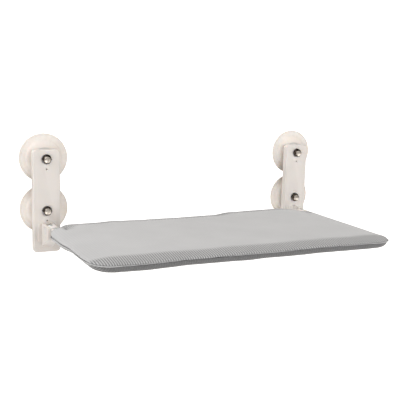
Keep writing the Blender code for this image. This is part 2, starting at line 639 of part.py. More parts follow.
def panel_mesh(name, direction, height, width):
    """One panel of the cover: a shallow tray of fabric whose rim is the seam."""
    rim_z = SEAM_Z + direction * GAP / 2
    outer_insets = (0.0, 0.07 * width, 0.25 * width, 0.57 * width, width)
    levels = [(inset, rim_z + direction * roll(inset, width, height - GAP / 2))
              for inset in outer_insets]
    shrink = 1.0 - FABRIC / height
    inner = [(FABRIC + inset * (1.0 - FABRIC / width), rim_z + (z - rim_z) * shrink)
             for inset, z in levels]
    bm = bmesh.new()
    loops = []
    for inset, z in list(reversed(inner)) + levels:
        loops.append([bm.verts.new((x, y, z)) for x, y in perch_outline(inset)])
    for low, high in zip(loops, loops[1:]):
        for k in range(len(low)):
            n = (k + 1) % len(low)
            bm.faces.new((low[k], low[n], high[n], high[k]))
    bm.faces.new(loops[0])
    bm.faces.new(loops[-1])
    bmesh.ops.triangulate(bm, faces=[face for face in bm.faces if len(face.verts) > 4])
    return finish_mesh(name, bm)


def make_cover(mat, parent):
    """The two sewn panels, cut back where each arm goes in."""
    panels = (("cover_top", 1, PERCH_TOP_Z - SEAM_Z, TOP_ROLL),
              ("cover_bottom", -1, SEAM_Z - PERCH_BOTTOM_Z, BOTTOM_ROLL))
    for name, direction, height, width in panels:
        panel = new_object(name, panel_mesh(name, direction, height, width), mat)
        hang_on(parent, panel)
        for side in (-1, 1):
            inner_x = side * (BRACKET_X - KNUCKLE_HALF_WIDTH - FABRIC_GAP)
            outer_x = side * (PERCH_HALF_WIDTH + 0.005)
            relief = block(f"{name}_relief",
                           (min(inner_x, outer_x), NOTCH_Y - 0.005, PERCH_BOTTOM_Z - 0.01),
                           (max(inner_x, outer_x), NOTCH_Y + 0.005, PERCH_TOP_Z + 0.01))
            combine(panel, relief, "DIFFERENCE")


def make_foam(mat, parent):
    """The foam pad that fills the frame between the tubes."""
    side_x = BRACKET_X - TUBE_RADIUS - FOAM_GAP
    rear_x = REAR_LEG_X - LUG_HALF_WIDTH - FOAM_GAP
    rear_y = REAR_TUBE_Y - TUBE_RADIUS - FOAM_GAP
    step_y = ARM_END_Y - 0.002
    front_y = FRONT_TUBE_Y + TUBE_RADIUS + FOAM_GAP
    front_r, rear_r = FOAM_FRONT_CORNER, FOAM_REAR_CORNER
    half = arc((side_x - front_r, front_y + front_r), front_r, -90, 0, 4)
    half += [(side_x, step_y), (rear_x, step_y)]
    half += arc((rear_x - rear_r, rear_y - rear_r), rear_r, 0, 90, 2)
    outline = half + [(-x, y) for x, y in reversed(half)]
    mesh = extruded("foam_pad", outline, FOAM_BOTTOM_Z, FOAM_TOP_Z, "Z", 0.002, (FOAM_TOP_Z,), 2)
    hang_on(parent, new_object("foam_pad", mesh, mat))


# ---------------------------------------------------------------- zip
ZIP_Y = -0.0630
ZIP_HALF_LENGTH = 0.170
ZIP_CHAIN_HALF_WIDTH = 0.0024
ZIP_TAPE_HALF_WIDTH = 0.0070
ZIP_TAPE_Z = (PERCH_BOTTOM_Z - GAP, PERCH_BOTTOM_Z - GAP - 0.0006)
ZIP_CHAIN_Z = ZIP_TAPE_Z[1] - 0.0009
SLIDER_X = -0.160


def make_zip(materials, parent):
    """The closed zip under the rear edge, and its slider at the left end."""
    tape = rounded_rectangle((-ZIP_HALF_LENGTH, -ZIP_TAPE_HALF_WIDTH),
                             (ZIP_HALF_LENGTH, ZIP_TAPE_HALF_WIDTH), 0.002, 2)
    here = (0.0, ZIP_Y, 0.0)
    strip = new_object("zip", extruded("zip", tape, ZIP_TAPE_Z[1], ZIP_TAPE_Z[0], "Z"),
                       materials["zip_tape"], here)
    hang_on(parent, strip)
    chain = block("zip_chain", (-ZIP_HALF_LENGTH + 0.003, -ZIP_CHAIN_HALF_WIDTH, ZIP_CHAIN_Z),
                  (ZIP_HALF_LENGTH - 0.003, ZIP_CHAIN_HALF_WIDTH, ZIP_TAPE_Z[0] - 0.0002))
    combine(strip, chain, "UNION", here)

    place = (SLIDER_X, ZIP_Y, 0.0)
    top_z = ZIP_TAPE_Z[1] - GAP
    roof_z = ZIP_CHAIN_Z - GAP
    low_z = roof_z - 0.0012
    body = [(-0.0042, low_z), (0.0042, low_z), (0.0042, top_z), (0.0030, top_z),
            (0.0030, roof_z), (-0.0030, roof_z), (-0.0030, top_z), (-0.0042, top_z)]
    slider = new_object("zip_slider", extruded("zip_slider", body, -0.005, 0.005, "X"),
                        materials["zinc_steel"], place)
    hang_on(parent, slider)
    tab = rounded_rectangle((-0.002, -0.0024), (0.024, 0.0024), 0.0018, 3)
    combine(slider, extruded("zip_tab", tab, low_z - 0.0011, low_z + 0.0004, "Z"), "UNION", place)


# ---------------------------------------------------------------- assembly
def empty(name, location, parent=None):
    """Add an empty, such as the one that marks a joint."""
    obj = bpy.data.objects.new(name, None)
    obj.location = location
    obj.empty_display_size = 0.02
    bpy.context.scene.collection.objects.link(obj)
    if parent is not None:
        obj.parent = parent
        obj.location = [a - b for a, b in zip(location, parent.location)]
    return obj


def main():
    """Build the whole perch."""
    clear_scene()
    materials = make_materials()
    fold_axis = empty("perch_fold_axis", (0.0, PIVOT_Y, PIVOT_Z))
    for side, side_name in ((-1, "left"), (1, "right")):
        make_cup_set(side, side_name, materials)
        make_bracket_plate(f"bracket_plate_{side_name}", materials["white_plastic"],
                           side * BRACKET_X)
        make_hinge_arm(f"hinge_arm_{side_name}", materials["white_plastic"], side, fold_axis)
        make_hinge_pin(f"hinge_pin_{side_name}", materials["zinc_steel"], side, fold_axis)
        make_retaining_ring(f"retaining_ring_{side_name}", materials["zinc_steel"], side,
                            fold_axis)
        make_lock_screw(f"lock_screw_{side_name}", materials["zinc_steel"], side, fold_axis)
        make_tube_screw(f"tube_screw_{side_name}", materials["zinc_steel"], side, fold_axis)
    make_frame(materials, fold_axis)
    make_foam(materials["foam"], fold_axis)
    make_cover(materials["mesh_fabric"], fold_axis)
    make_zip(materials, fold_axis)


main()
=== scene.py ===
import math

import bmesh
import bpy
import numpy as np
from mathutils import Matrix, Vector, noise
from mathutils.bvhtree import BVHTree
from mathutils.geometry import delaunay_2d_cdt


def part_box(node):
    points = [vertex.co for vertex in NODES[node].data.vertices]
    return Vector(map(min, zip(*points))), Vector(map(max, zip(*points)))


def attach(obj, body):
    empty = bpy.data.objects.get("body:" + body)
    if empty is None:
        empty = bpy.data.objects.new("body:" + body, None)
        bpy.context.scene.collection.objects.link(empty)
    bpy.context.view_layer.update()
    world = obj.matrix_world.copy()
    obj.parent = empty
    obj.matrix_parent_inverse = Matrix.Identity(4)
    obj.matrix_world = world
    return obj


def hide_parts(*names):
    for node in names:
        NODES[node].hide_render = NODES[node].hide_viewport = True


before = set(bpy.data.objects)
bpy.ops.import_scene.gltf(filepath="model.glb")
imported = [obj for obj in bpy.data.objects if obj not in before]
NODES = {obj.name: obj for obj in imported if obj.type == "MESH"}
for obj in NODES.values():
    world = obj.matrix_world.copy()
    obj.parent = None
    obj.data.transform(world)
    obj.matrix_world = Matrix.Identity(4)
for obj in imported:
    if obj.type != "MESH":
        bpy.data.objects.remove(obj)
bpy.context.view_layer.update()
SIDES = ((-1, "left"), (1, "right"))
LEVELS = ("upper", "lower")
MM = 0.001


# ---------------------------------------------------------------- shader helpers
def add(mat, kind, settings=None, **inputs):
    """Add a shader node; an input is a value or a socket, and i0 is the input numbered 0."""
    made = mat.node_tree.nodes.new("ShaderNode" + kind)
    for key, value in (settings or {}).items():
        setattr(made, key, value)
    for key, value in inputs.items():
        numbered = key[0] == "i" and key[1:].isdigit()
        socket = made.inputs[int(key[1:]) if numbered else key.replace("_", " ")]
        if isinstance(value, bpy.types.NodeSocket):
            mat.node_tree.links.new(value, socket)
        else:
            socket.default_value = value
    return made


def new_material(name, **values):
    """A Principled material whose uniform values sit on the shader's own sockets."""
    mat = bpy.data.materials.new(name)
    mat.use_nodes = True
    shader = mat.node_tree.nodes["Principled BSDF"]
    for key, value in values.items():
        shader.inputs[key.replace("_", " ")].default_value = value
    return mat, shader


def link(mat, out, socket):
    mat.node_tree.links.new(out, socket)


def maths(mat, operation, a, b=0.0, c=0.0):
    return add(mat, "Math", {"operation": operation}, i0=a, i1=b, i2=c).outputs[0]


def ramp(mat, factor, stops):
    """A colour ramp of (position, colour) stops."""
    made = add(mat, "ValToRGB", None, i0=factor)
    elements = made.color_ramp.elements
    while len(elements) < len(stops):
        elements.new(0.5)
    for element, (position, color) in zip(elements, stops):
        element.position = position
        element.color = (*color, 1.0)
    return made.outputs["Color"]


def tint(color, factor):
    return tuple(min(1.0, c * factor) for c in color)


def from_axis(mat, place):
    """X, Z and the distance from the local Y axis, at an object coordinate."""
    parts = add(mat, "SeparateXYZ", None, Vector=place)
    x, z = parts.outputs["X"], parts.outputs["Z"]
    radius = maths(mat, "SQRT", maths(mat, "ADD", maths(mat, "MULTIPLY", x, x),
                                      maths(mat, "MULTIPLY", z, z)))
    return x, z, radius


def noise_of(mat, place, scale, detail=3.0, roughness=0.5):
    return add(mat, "TexNoise", None, Vector=place, Scale=scale, Detail=detail,
               Roughness=roughness).outputs["Fac"]


def bump(mat, height, strength, distance, under=None):
    inputs = {"Height": height, "Strength": strength, "Distance": distance}
    if under is not None:
        inputs["Normal"] = under
    return add(mat, "Bump", None, **inputs).outputs["Normal"]


def moulded(name, color, roughness, warm=0.0, grain=0.00004, worn=0.0):
    """Moulded plastic: faint mottling, fine spark-eroded grain, uneven gloss, rubbed edges."""
    mat, shader = new_material(name, Roughness=roughness)
    place = add(mat, "TexCoord").outputs["Object"]
    mottle = noise_of(mat, place, 45.0, 4.0)
    base = ramp(mat, mottle, ((0.25, tint(color, 0.965)), (0.75, tint(color, 1.02))))
    if worn:
        edge = add(mat, "NewGeometry").outputs["Pointiness"]
        mask = ramp(mat, edge, ((0.52, (0, 0, 0)), (0.60, (worn, worn, worn))))
        base = add(mat, "MixRGB", None, Fac=mask, Color1=base,
                   Color2=(*tint(color, 1.12), 1.0)).outputs["Color"]
    link(mat, base, shader.inputs["Base Color"])
    gloss = add(mat, "MapRange", None, Value=noise_of(mat, place, 160.0), To_Min=roughness - 0.06,
                To_Max=roughness + 0.06).outputs["Result"]
    link(mat, gloss, shader.inputs["Roughness"])
    fine = noise_of(mat, place, 1800.0, 2.0)
    link(mat, bump(mat, fine, 0.35, grain), shader.inputs["Normal"])
    if warm:
        shader.inputs["Subsurface Weight"].default_value = warm
        shader.inputs["Subsurface Radius"].default_value = (1.0, 0.62, 0.36)
        shader.inputs["Subsurface Scale"].default_value = 0.004
    return mat


def metal(name, color, roughness, spin=False):
    """Plated or zinc-coated metal with fine drawn marks and slightly uneven gloss."""
    mat, shader = new_material(name, Metallic=1.0, Roughness=roughness)
    place = add(mat, "TexCoord").outputs["Object"]
    cloud = noise_of(mat, place, 220.0, 4.0)
    base = ramp(mat, cloud, ((0.3, tint(color, 0.88)), (0.7, color)))
    link(mat, base, shader.inputs["Base Color"])
    gloss = add(mat, "MapRange", None, Value=noise_of(mat, place, 600.0),
                To_Min=roughness * 0.7, To_Max=roughness * 1.4).outputs["Result"]
    link(mat, gloss, shader.inputs["Roughness"])
    scale = (300.0, 4000.0, 4000.0) if spin else (1500.0, 1500.0, 1500.0)
    stretched = add(mat, "Mapping", None, Vector=place, Scale=scale).outputs["Vector"]
    marks = noise_of(mat, stretched, 1.0, 2.0)
    link(mat, bump(mat, marks, 0.25, 0.00002), shader.inputs["Normal"])
    return mat


def nut_material():
    """A cap nut: a polished dome, partly diffuse and beige as a painted bright reflection, on a
    duller hexagon coloured almost black as painted shade and painted reflection.
    """
    mat, shader = new_material("cap_nut_plating", Metallic=1.0, Roughness=0.10)
    place = add(mat, "TexCoord").outputs["Object"]
    _, _, radius = from_axis(mat, place)
    body = add(mat, "MapRange", None, Value=radius, From_Min=4.7 * MM,
               From_Max=5.4 * MM).outputs["Result"]
    cloud = noise_of(mat, place, 260.0, 4.0)
    # painted reflection: the dome's beige, shown partly diffuse, stands in for a bright reflection
    dome = ramp(mat, cloud, ((0.3, (0.78, 0.70, 0.61)), (0.7, (0.90, 0.83, 0.74))))
    # painted shade and painted reflection: the hexagon is coloured almost black
    hex_painted_shade = ramp(mat, cloud, ((0.3, (0.13, 0.10, 0.082)), (0.7, (0.20, 0.165, 0.135))))
    base = add(mat, "MixRGB", None, Fac=body, Color1=dome, Color2=hex_painted_shade).outputs["Color"]
    link(mat, base, shader.inputs["Base Color"])
    gloss = add(mat, "MapRange", None, Value=body, To_Min=0.27, To_Max=0.36).outputs["Result"]
    uneven = maths(mat, "MULTIPLY", noise_of(mat, place, 700.0), 0.06)
    link(mat, maths(mat, "ADD", gloss, uneven), shader.inputs["Roughness"])
    # the dome is only partly metallic, so its beige shows as painted brightness
    metallic_with_painted_dome = add(mat, "MapRange", None, Value=body, To_Min=0.62, To_Max=1.0).outputs["Result"]
    link(mat, metallic_with_painted_dome, shader.inputs["Metallic"])
    link(mat, bump(mat, noise_of(mat, place, 1500.0, 2.0), 0.2, 0.00002), shader.inputs["Normal"])
    return mat


def cup_material():
    """Soft, slightly translucent plastic: milky, with faint flow rings and radial streaks."""
    color = (0.83, 0.775, 0.73)
    mat, shader = new_material("cup_soft_plastic", Roughness=0.32, Subsurface_Weight=0.35,
                               Subsurface_Radius=(1.0, 0.7, 0.5), Subsurface_Scale=0.006,
                               Coat_Weight=0.15, Coat_Roughness=0.2)
    place = add(mat, "TexCoord").outputs["Object"]
    x, z, radius = from_axis(mat, place)
    turn = maths(mat, "ARCTAN2", z, x)
    polar = add(mat, "CombineXYZ", None, X=maths(mat, "MULTIPLY", turn, 3.0),
                Y=maths(mat, "MULTIPLY", radius, 40.0), Z=0.0).outputs["Vector"]
    streaks = noise_of(mat, polar, 2.2, 3.0)
    base = ramp(mat, streaks, ((0.30, tint(color, 0.96)), (0.55, color), (0.80, tint(color, 1.03))))
    rim = ramp(mat, maths(mat, "MULTIPLY", radius, 1.0 / CUP_R),
               ((0.90, (0, 0, 0)), (0.955, (0.5, 0.5, 0.5)), (0.99, (0.12, 0.12, 0.12))))
    base = add(mat, "MixRGB", {"blend_type": "MULTIPLY"}, Fac=rim, Color1=base,
               Color2=(0.90, 0.87, 0.84, 1.0)).outputs["Color"]
    link(mat, base, shader.inputs["Base Color"])
    rings = maths(mat, "SINE", maths(mat, "MULTIPLY", radius, 2400.0))
    fine = noise_of(mat, place, 900.0, 2.0)
    under = bump(mat, rings, 0.10, 0.00003)
    link(mat, bump(mat, fine, 0.25, 0.00004, under), shader.inputs["Normal"])
    return mat


def fabric_material(name, color, shade):
    """Knitted spacer mesh: ribs from back to front, with staggered eyelets between them; the
    eyelets and rib valleys are darkened as painted shade, partly the knit's own pattern.

    The attribute "flat" holds a point's place on the cloth before sewing, and in its third
    number how far the cloth is stretched over the edge, where its ribs open; the same number
    darkens it as painted shade on the front and back rolls, the underside and the seam groove.
    """
    mat, shader = new_material(name, Roughness=0.88, Sheen_Weight=0.35, Sheen_Roughness=0.45,
                               Sheen_Tint=(1.0, 1.0, 1.0, 1.0), Specular_IOR_Level=0.25)
    flat = add(mat, "Attribute", {"attribute_name": "flat"}).outputs["Vector"]
    parts = add(mat, "SeparateXYZ", None, Vector=flat)
    x, y, stretch_and_shade = parts.outputs["X"], parts.outputs["Y"], parts.outputs["Z"]
    wander = noise_of(mat, flat, 60.0, 2.0)
    x = maths(mat, "ADD", x, maths(mat, "MULTIPLY", wander, 0.0009))
    across = maths(mat, "MULTIPLY", x, 2 * math.pi / RIB_PITCH)
    along = maths(mat, "MULTIPLY", y, 2 * math.pi / EYELET_PITCH)
    rib = maths(mat, "MULTIPLY_ADD", maths(mat, "COSINE", across), 0.5, 0.5)
    stagger = maths(mat, "MULTIPLY", maths(mat, "COSINE", maths(mat, "MULTIPLY", across, 0.5)),
                    maths(mat, "COSINE", along))
    eyelet = add(mat, "MapRange", {"interpolation_type": "SMOOTHSTEP"}, Value=stagger,
                 From_Min=0.05, From_Max=0.75).outputs["Result"]
    valley = maths(mat, "SUBTRACT", 1.0, rib)
    hole = maths(mat, "MULTIPLY", eyelet, valley)
    knit = maths(mat, "COSINE", maths(mat, "MULTIPLY", along, 3.0))
    height = maths(mat, "SUBTRACT", maths(mat, "ADD", rib, maths(mat, "MULTIPLY", knit, 0.12)),
                   maths(mat, "MULTIPLY", hole, 0.9))
    # faint on the flat, clear wherever the cloth is stretched; it also sets the painted shade in
    # the rib valleys and eyelets
    shown = add(mat, "MapRange", None, Value=stretch_and_shade, From_Max=0.03, To_Min=0.07,
                To_Max=0.90).outputs["Result"]
    shown_holes = maths(mat, "MULTIPLY_ADD", shown, 0.45, 0.12)
    fibre = noise_of(mat, add(mat, "TexCoord").outputs["Object"], 2600.0, 3.0, 0.7)
    height = maths(mat, "ADD", height, maths(mat, "MULTIPLY", fibre, 0.25))
    cloud = noise_of(mat, flat, 14.0, 4.0)
    base = ramp(mat, cloud, ((0.3, tint(color, 0.955)), (0.7, tint(color, 1.03))))
    grey = ramp(mat, fibre, ((0.3, (0.86, 0.86, 0.87)), (0.7, (1.0, 1.0, 1.0))))
    base = add(mat, "MixRGB", {"blend_type": "MULTIPLY"}, Fac=0.7, Color1=base,
               Color2=grey).outputs["Color"]
    # painted shade in the eyelets, partly the open knit itself
    dark = maths(mat, "MULTIPLY", hole, shown_holes)
    base = add(mat, "MixRGB", None, Fac=dark, Color1=base,
               Color2=(*tint(color, 0.34), 1.0)).outputs["Color"]
    # painted shade: the flat's third number darkens the front and back rolls, the underside and the
    # seam groove
    base = add(mat, "MixRGB", {"blend_type": "MULTIPLY"}, Fac=stretch_and_shade, Color1=base,
               Color2=(shade, shade, shade * 1.01, 1.0)).outputs["Color"]
    # painted shade in the rib valleys, strongest on stretched cloth, partly the knit's own pattern
    ribs = maths(mat, "MULTIPLY", valley, shown)
    base = add(mat, "MixRGB", None, Fac=ribs, Color1=base,
               Color2=(*tint(color, 0.28), 1.0)).outputs["Color"]
    link(mat, base, shader.inputs["Base Color"])
    relief = maths(mat, "MULTIPLY", shown, 0.75)
    link(mat, bump(mat, height, relief, 0.0005), shader.inputs["Normal"])
    return mat


# ---------------------------------------------------------------- mesh helpers
def mesh_from(name, verts, faces):
    mesh = bpy.data.meshes.new(name)
    mesh.from_pydata([tuple(v) for v in verts], [], faces)
    mesh.validate()
    return mesh


def finished(name, bm, sharp=32.0):
    """The mesh of bm, smooth except at edges sharper than the angle in degrees."""
    bmesh.ops.remove_doubles(bm, verts=bm.verts, dist=1e-7)
    bmesh.ops.recalc_face_normals(bm, faces=bm.faces)
    mesh = bpy.data.meshes.new(name)
    bm.to_mesh(mesh)
    bm.free()
    mesh.shade_smooth()
    mesh.set_sharp_from_angle(angle=math.radians(sharp))
    return mesh


def piece(name, mesh, mat, body, replaced=(), location=(0.0, 0.0, 0.0)):
    """Add a shown piece, riding on a body and standing for CAD nodes."""
    obj = bpy.data.objects.new(name, mesh)
    obj.location = location
    bpy.context.scene.collection.objects.link(obj)
    mesh.materials.clear()
    mesh.materials.append(mat)
    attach(obj, body)
    if replaced:
        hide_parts(*replaced)
    return obj


def softened(profile, radius, steps):
    """Round the corners of a (radius, height) profile, except its two ends."""
    points = [profile[0]]
    for before, here, after in zip(profile, profile[1:], profile[2:]):
        a, b, c = Vector(before), Vector(here), Vector(after)
        cut = min(radius, 0.45 * (a - b).length, 0.45 * (c - b).length)
        start = b + (a - b).normalized() * cut
        end = b + (c - b).normalized() * cut
        for i in range(steps + 1):
            t = i / steps
            points.append(tuple(start * (1 - t) ** 2 + b * 2 * t * (1 - t) + end * t * t))
    return points + [profile[-1]]


def lathe(name, profile, segments, sharp):
    """Turn a (radius, height) profile about the local Y axis."""
    bm = bmesh.new()
    verts = [bm.verts.new((radius, height, 0.0)) for radius, height in profile]
    edges = [bm.edges.new(pair) for pair in zip(verts, verts[1:])]
    if profile[0][0] > 0.0:
        edges.append(bm.edges.new((verts[-1], verts[0])))
    bmesh.ops.spin(bm, geom=verts + edges, cent=(0, 0, 0), axis=(0, 1, 0),
                   angle=2 * math.pi, steps=segments, use_merge=True)
    return finished(name, bm, sharp)


def centre_of(node):
    low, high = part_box(node)
    return (low + high) / 2


# ---------------------------------------------------------------- camera, floor and lights
def make_camera():
    """The camera stands left of the perch, a little above it, and looks slightly down."""
    yaw, pitch, roll = (math.radians(a) for a in (25.45, 10.36, 1.63))
    forward = Vector((math.sin(yaw) * math.cos(pitch), math.cos(yaw) * math.cos(pitch),
                      -math.sin(pitch)))
    right = Vector((math.cos(yaw), -math.sin(yaw), 0.0))
    up = right.cross(forward)
    across = right * math.cos(roll) + up * math.sin(roll)
    upward = up * math.cos(roll) - right * math.sin(roll)
    data = bpy.data.cameras.new("camera")
    data.sensor_width = 36.0
    data.lens = 63.95
    data.shift_x = -0.002
    data.shift_y = -0.0072
    data.clip_start = 0.05
    camera = bpy.data.objects.new("camera", data)
    rotation = Matrix((across, upward, -forward)).transposed()
    camera.matrix_world = Matrix.Translation((-0.5132, -1.1854, 0.1902)) @ rotation.to_4x4()
    bpy.context.scene.collection.objects.link(camera)
    bpy.context.scene.camera = camera


def area_light(name, place, target, size, power, glossy=True):
    data = bpy.data.lights.new(name, "AREA")
    data.shape = "DISK"
    data.size = size
    data.energy = power
    data.color = (0.98, 0.99, 1.0)
    light = bpy.data.objects.new(name, data)
    light.location = place
    aim = (Vector(target) - Vector(place)).to_track_quat("-Z", "Y")
    light.rotation_mode = "QUATERNION"
    light.rotation_quaternion = aim
    light.visible_glossy = glossy
    bpy.context.scene.collection.objects.link(light)


def make_studio():
    """A white floor and surround, a warm sky, one large soft light above and four weaker ones."""
    world = bpy.data.worlds.new("studio")
    world.use_nodes = True
    sky = world.node_tree.nodes["Background"]
    sky.inputs["Color"].default_value = (1.0, 0.94, 0.88, 1.0)
    sky.inputs["Strength"].default_value = 0.46
    world.cycles_visibility.glossy = False
    bpy.context.scene.world = world
    bpy.context.scene.view_settings.view_transform = "Standard"

    mat, shader = new_material("studio_floor", Roughness=0.8, Emission_Strength=1.0,
                               Emission_Color=(1.0, 1.0, 1.0, 1.0))
    place = add(mat, "TexCoord").outputs["Object"]
    pale = ramp(mat, noise_of(mat, place, 2.0),
                ((0.3, (0.93, 0.93, 0.93)), (0.7, (0.96, 0.96, 0.96))))
    link(mat, pale, shader.inputs["Base Color"])
    rim = [(4.0, 0.0), (5.5, 0.25), (6.4, 0.9), (6.9, 2.0), (7.0, 6.0)]
    for name, profile in (("floor", [(0.0, 0.0), (2.0, 0.0), (4.0, 0.0)]), ("surround", rim)):
        sheet = bpy.data.objects.new(name, studio_mesh(name, profile))
        sheet.data.materials.append(mat)
        sheet.visible_diffuse = False
        sheet.visible_shadow = False
        sheet.visible_glossy = name == "floor"
        bpy.context.scene.collection.objects.link(sheet)

    area_light("key", (-1.6, 0.15, 1.9), (0.0, -0.15, -0.06), 2.0, 39.0)
    area_light("front", (0.8, -2.4, 0.55), (0.05, -0.1, 0.0), 1.8, 29.0, glossy=False)
    area_light("left", (-2.2, -0.45, 0.6), (-0.2, -0.1, -0.02), 1.6, 9.0, glossy=False)
    area_light("low_left", (-1.3, -1.7, -0.7), (-0.1, -0.05, -0.03), 1.2, 11.0, glossy=False)
    area_light("low_right", (1.7, -1.7, -0.6), (0.2, -0.05, -0.03), 1.2, 10.0, glossy=False)


FLOOR_DEPTH = 1.3


def studio_mesh(name, profile):
    """A wide disc, low under the perch, or the rim that curves up from it into a white surround."""
    bm = bmesh.new()
    verts = [bm.verts.new((r, 0.0, z - FLOOR_DEPTH)) for r, z in profile]
    edges = [bm.edges.new(pair) for pair in zip(verts, verts[1:])]
    bmesh.ops.spin(bm, geom=verts + edges, cent=(0, 0, 0), axis=(0, 0, 1),
                   angle=2 * math.pi, steps=64, use_merge=True)
    mesh = finished(name, bm)
    mesh.flip_normals()
    return mesh


# ---------------------------------------------------------------- suction cups and fasteners
STUD_R = 3.9 * MM
STUD_PLAY = 0.3 * MM
NUT_HEX = 4.8 * MM              # height of the nut's hexagon, without its dome
CUP_R = (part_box("suction_cup_left_upper")[1].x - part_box("suction_cup_left_upper")[0].x) / 2


def cup_mesh(name):
    """A cup pressed on the glass: sealing lip, thin stepped flange, domed hub."""
    r = CUP_R
    back = [(0.0, -0.0030), (0.010, -0.0029), (0.022, -0.0022), (0.030, -0.0014),
            (r - 0.0060, -0.0006), (r - 0.0042, -0.0005)]
    lip = [(r - 0.0038, 0.0), (r - 0.0006, 0.0), (r, -0.0006), (r - 0.0003, -0.0014)]
    front = [(r - 0.0030, -0.0019), (r - 0.0036, -0.0017), (0.0325, -0.0028), (0.0300, -0.0036),
             (0.0275, -0.0054), (0.0245, -0.0066), (0.0185, -0.0082)]
    hub = [(0.0125, -0.0094), (0.0042, -0.0094), (0.0042, -0.0077), (0.0083, -0.0077),
           (0.0083, -0.0043), (0.0, -0.0043)]
    slope = softened([lip[-1]] + front + [hub[0]], 0.0016, 5)[1:-1]
    return lathe(name, softened(back + lip, 0.0004, 3) + slope + hub, 144, 50.0)


def washer_shape(name, y0, y1, outer):
    hole = STUD_R + STUD_PLAY
    profile = [(hole, y0), (outer, y0), (outer, y1), (hole, y1)]
    return lathe(name, softened(profile, 0.00018, 3), 72, 40.0)


def nut_mesh(name, base, shoulder, tip):
    """A low cap nut: chamfered hexagon, undercut collar and a polished dome, hollow inside."""
    apothem, dome_r = 6.5 * MM, 5.75 * MM
    chamfer_r, bore = 6.7 * MM, STUD_R + STUD_PLAY
    dome_base = shoulder - 0.2 * MM
    count, dome_steps = 120, 14
    rings = []

    def ring(radius_at, height_at):
        rings.append([(radius_at(a), height_at(a), a) for a in
                      (2 * math.pi * k / count for k in range(count))])

    def hexagon(a):
        return apothem / math.cos((a % (math.pi / 3)) - math.pi / 6)

    def cut(a):
        return shoulder + max(0.0, hexagon(a) - chamfer_r) * 0.62

    ring(lambda a: bore, lambda a: tip + 3.4 * MM)
    ring(lambda a: bore, lambda a: base - 0.4 * MM)
    ring(lambda a: bore + 0.4 * MM, lambda a: base)
    ring(lambda a: min(hexagon(a), 6.9 * MM) - 0.25 * MM, lambda a: base)
    ring(lambda a: hexagon(a), lambda a: base - 0.25 * MM - max(0.0, hexagon(a) - 6.9 * MM) * 0.6)
    ring(lambda a: hexagon(a), lambda a: cut(a) + 0.12 * MM)
    ring(lambda a: hexagon(a) - 0.10 * MM, lambda a: cut(a))
    ring(lambda a: min(hexagon(a) - 0.2 * MM, chamfer_r), lambda a: shoulder)
    ring(lambda a: dome_r + 0.25 * MM, lambda a: shoulder)
    ring(lambda a: dome_r, lambda a: dome_base)
    height = dome_base - tip
    for i in range(1, dome_steps):
        t = math.pi / 2 * i / dome_steps
        ring(lambda a, t=t: dome_r * math.cos(t), lambda a, t=t: dome_base - height * math.sin(t))
    bm = bmesh.new()
    loops = [[bm.verts.new((r * math.cos(a), y, r * math.sin(a))) for r, y, a in loop]
             for loop in rings]
    for low, high in zip(loops, loops[1:]):
        for k in range(count):
            n = (k + 1) % count
            bm.faces.new((low[k], low[n], high[n], high[k]))
    inside = bm.verts.new((0.0, rings[0][0][1], 0.0))
    apex = bm.verts.new((0.0, tip, 0.0))
    for k in range(count):
        n = (k + 1) % count
        bm.faces.new((inside, loops[0][n], loops[0][k]))
        bm.faces.new((apex, loops[-1][k], loops[-1][n]))
    return finished(name, bm, 38.0)


def make_fasteners(looks):
    """Cups, washers and cap nuts on both brackets."""
    for _, side in SIDES:
        for level in LEVELS:
            place = f"{side}_{level}"
            centre = centre_of(f"suction_cup_{place}")
            here = (centre.x, 0.0, centre.z)
            piece(f"cup_body_{place}", cup_mesh(f"cup_body_{place}"), looks["cup"], "brackets",
                  (f"suction_cup_{place}",), here)
            low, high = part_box(f"washer_{place}")
            piece(f"washer_ring_{place}", washer_shape(f"washer_ring_{place}", high.y, low.y,
                                                       (high.x - low.x) / 2), looks["zinc"],
                  "brackets", (f"washer_{place}",), here)
            low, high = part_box(f"cap_nut_{place}")
            piece(f"dome_nut_{place}", nut_mesh(f"dome_nut_{place}", high.y, high.y - NUT_HEX,
                                                low.y), looks["chrome"], "brackets",
                  (f"cap_nut_{place}",), here)


# ---------------------------------------------------------------- padded cover
TOP_LOW, TOP_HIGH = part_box("cover_top")
BOTTOM_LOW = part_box("cover_bottom")[0]
SEAM_Z = (TOP_LOW.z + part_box("cover_bottom")[1].z) / 2
HALF_WIDTH, FRONT_Y, REAR_Y = TOP_HIGH.x, TOP_LOW.y, TOP_HIGH.y
REAR_HALF = 223.5 * MM          # the cover is narrower between the clevises
NOTCH_Y = -66.5 * MM
FRONT_R, REAR_R, SHOULDER_R, INNER_R = 33 * MM, 17 * MM, 11 * MM, 2 * MM
TOP_ROLL, BOTTOM_ROLL = 32 * MM, 9 * MM
LIP = 1.5 * MM                  # from the seam to the widest point of each panel
TUCK = 2.2 * MM                 # depth of the seam's groove
GRID = 3.6 * MM                 # spacing of the points on the flat of a panel
HOLLOW = 1.2 * MM               # how much slimmer the pad is before it is blown up
BOTTOM_STRAIN_AND_SHADE = 0.014           # how far the flat of the bottom panel is stretched, and its painted shade
# how stretched and painted-shaded the top roll grows towards its seam, and how fast
TOP_STRAIN_AND_SHADE, TOP_STRAIN_AND_SHADE_POWER = 0.15, 1.2

# Slack of the cover on its left side, along its rear edge and over its whole surface, in metres
LOW_SAG, LOW_BULGE = 0.0058, 0.0020
ROLL_BULGE, ROLL_LIFT = 0.0026, 0.0016
SEAM_DROP, SEAM_DROP_REAR = 0.0042, 0.0022
CREST, CREST_LOW, RIPPLE = 0.0040, 0.0012, 0.0012
WAVE, SMALL_WAVE, FRONT_WAVE = 0.0009, 0.00030, 0.0008
REAR_LIFT, FRONT_SAG = 0.0012, 0.0010
